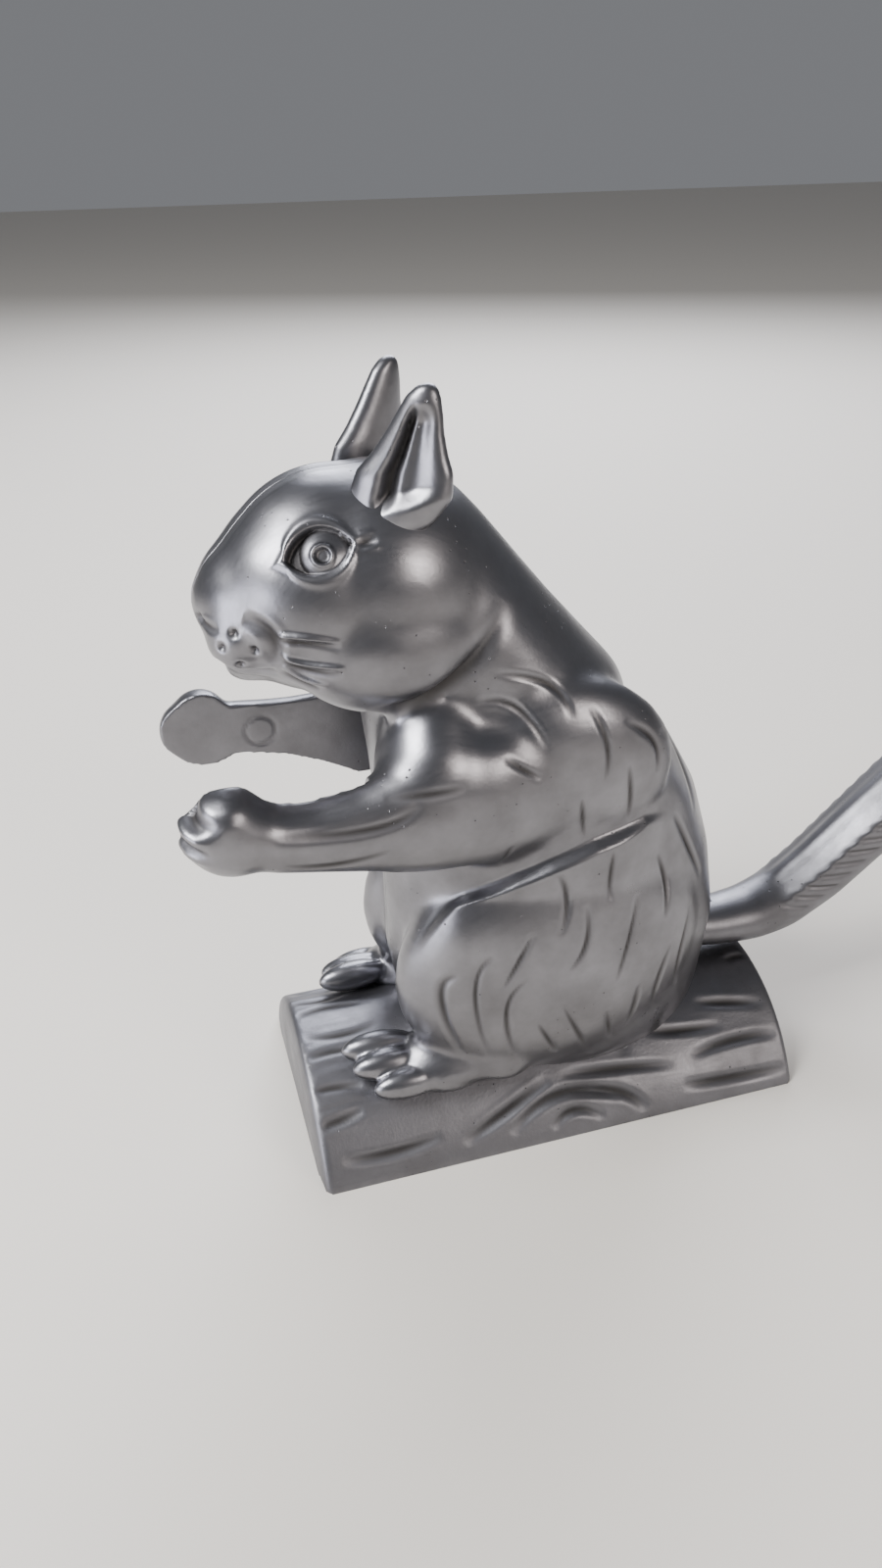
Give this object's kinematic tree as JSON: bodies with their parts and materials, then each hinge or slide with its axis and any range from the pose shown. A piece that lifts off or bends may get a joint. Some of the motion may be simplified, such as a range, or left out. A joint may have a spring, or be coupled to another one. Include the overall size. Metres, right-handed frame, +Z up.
{
  "type": "squirrel nutcracker",
  "caption": "Cast aluminium nutcracker shaped as a squirrel on a log; its tail is a lever that swings one arm towards the other to crack a nut.",
  "frame": {"origin": "centre of the log's underside, on the surface it stands on", "axes": "+Z up, the squirrel faces -Y, its left side is +X, the tail runs to +Y"},
  "size_m": [0.064, 0.2376, 0.1645],
  "materials": {
    "polished_casting": "cast aluminium, hand polished, with pits and fine scratches",
    "lever_casting": "cast aluminium, polished outside, as cast on the flat arm face",
    "cast_log": "cast aluminium, satin, carved bark lines",
    "zinc_steel": "bright zinc plated steel"
  },
  "bodies": {
    "figure": {"log_base": "cast_log", "left_body_shell": "polished_casting", "right_body_shell": "polished_casting", "left_ear": "polished_casting", "right_ear": "polished_casting", "pivot_bolt": "zinc_steel", "lower_thrust_washer": "zinc_steel", "upper_thrust_washer": "zinc_steel", "spring_washer": "zinc_steel", "pivot_nut": "zinc_steel", "base_screws": "zinc_steel", "seam_dowels": "zinc_steel"},
    "lever": {"right_arm_lever": "lever_casting", "tail_handle": "lever_casting", "tail_screws": "zinc_steel", "tail_nuts": "zinc_steel"}
  },
  "joints": [
    {"name": "tail_lever_swing", "type": "hinge", "parent": "figure", "child": "lever", "pos_m": [0, 0.004, 0.05], "axis": [0, 0, 1], "range_deg": [0, 26]}
  ]
}
